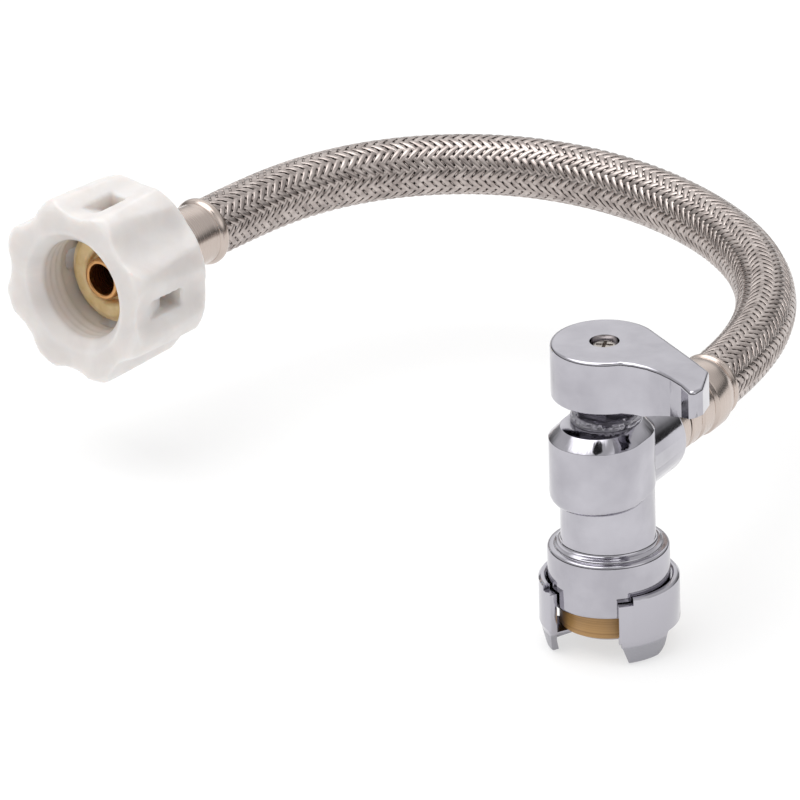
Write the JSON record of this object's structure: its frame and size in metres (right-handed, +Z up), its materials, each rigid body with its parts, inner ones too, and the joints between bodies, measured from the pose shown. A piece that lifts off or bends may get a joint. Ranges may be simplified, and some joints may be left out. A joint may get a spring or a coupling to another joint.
{
  "type": "angle stop valve",
  "caption": "Quarter-turn angle stop valve with a teardrop lever, a push-fit inlet with release clip, and a braided supply hose ending in a lobed plastic coupling nut.",
  "frame": {"origin": "centre of the tube stop, the blind end of the inlet socket", "axes": "+Z up along the inlet axis, away from the tube; +Y along the outlet; the closed lever points near +X"},
  "size_m": [0.2068, 0.1581, 0.074],
  "materials": {
    "chrome_plate": "polished chrome plate",
    "nickel_plate": "satin nickel plate, crimped",
    "steel_braid": "woven stainless wire",
    "spring_steel": "plain",
    "zinc_screw": "zinc plated",
    "raw_brass": "turned",
    "white_acetal": "moulded, slightly translucent",
    "tan_acetal": "moulded, satin",
    "ptfe": "plain",
    "hose_liner": "plain",
    "washer_rubber": "moulded, satin",
    "seal_rubber": "plain"
  },
  "bodies": {
    "valve": {"valve_body": "chrome_plate", "bonnet_nut": "chrome_plate", "thrust_washer": "ptfe", "inlet_seat": "ptfe", "outlet_seat": "ptfe", "inlet_oring": "seal_rubber", "oring_protector": "white_acetal", "grab_ring": "spring_steel", "grab_ring_retainer": "raw_brass", "outlet_nipple": "nickel_plate", "nipple_oring": "seal_rubber", "ferrule_valve_end": "nickel_plate", "hose_liner": "hose_liner", "hose_braid": "steel_braid", "ferrule_nut_end": "nickel_plate", "tailpiece": "raw_brass", "cone_washer": "washer_rubber", "slip_ring": "white_acetal"},
    "handle": {"handle": "chrome_plate", "handle_screw": "zinc_screw", "stem": "raw_brass", "ball": "chrome_plate", "stem_orings": "seal_rubber"},
    "release": {"release_clip": "chrome_plate", "release_collar": "tan_acetal"},
    "coupling_nut": {"coupling_nut": "white_acetal"}
  },
  "joints": [
    {"name": "handle_turn", "type": "hinge", "parent": "valve", "child": "handle", "pos_m": [0, 0, 0.0145], "axis": [0, 0, 1], "range_deg": [0, 90]},
    {"name": "release_push", "type": "slide", "parent": "valve", "child": "release", "axis": [0, 0, 1], "range_m": [0, 0.0024], "stiffness_N_per_m": 2500},
    {"name": "nut_spin", "type": "hinge", "parent": "valve", "child": "coupling_nut", "pos_m": [-0.15084, 0.04156, 0.0145], "axis": [-0.2079, -0.9781, 0], "continuous": true}
  ]
}
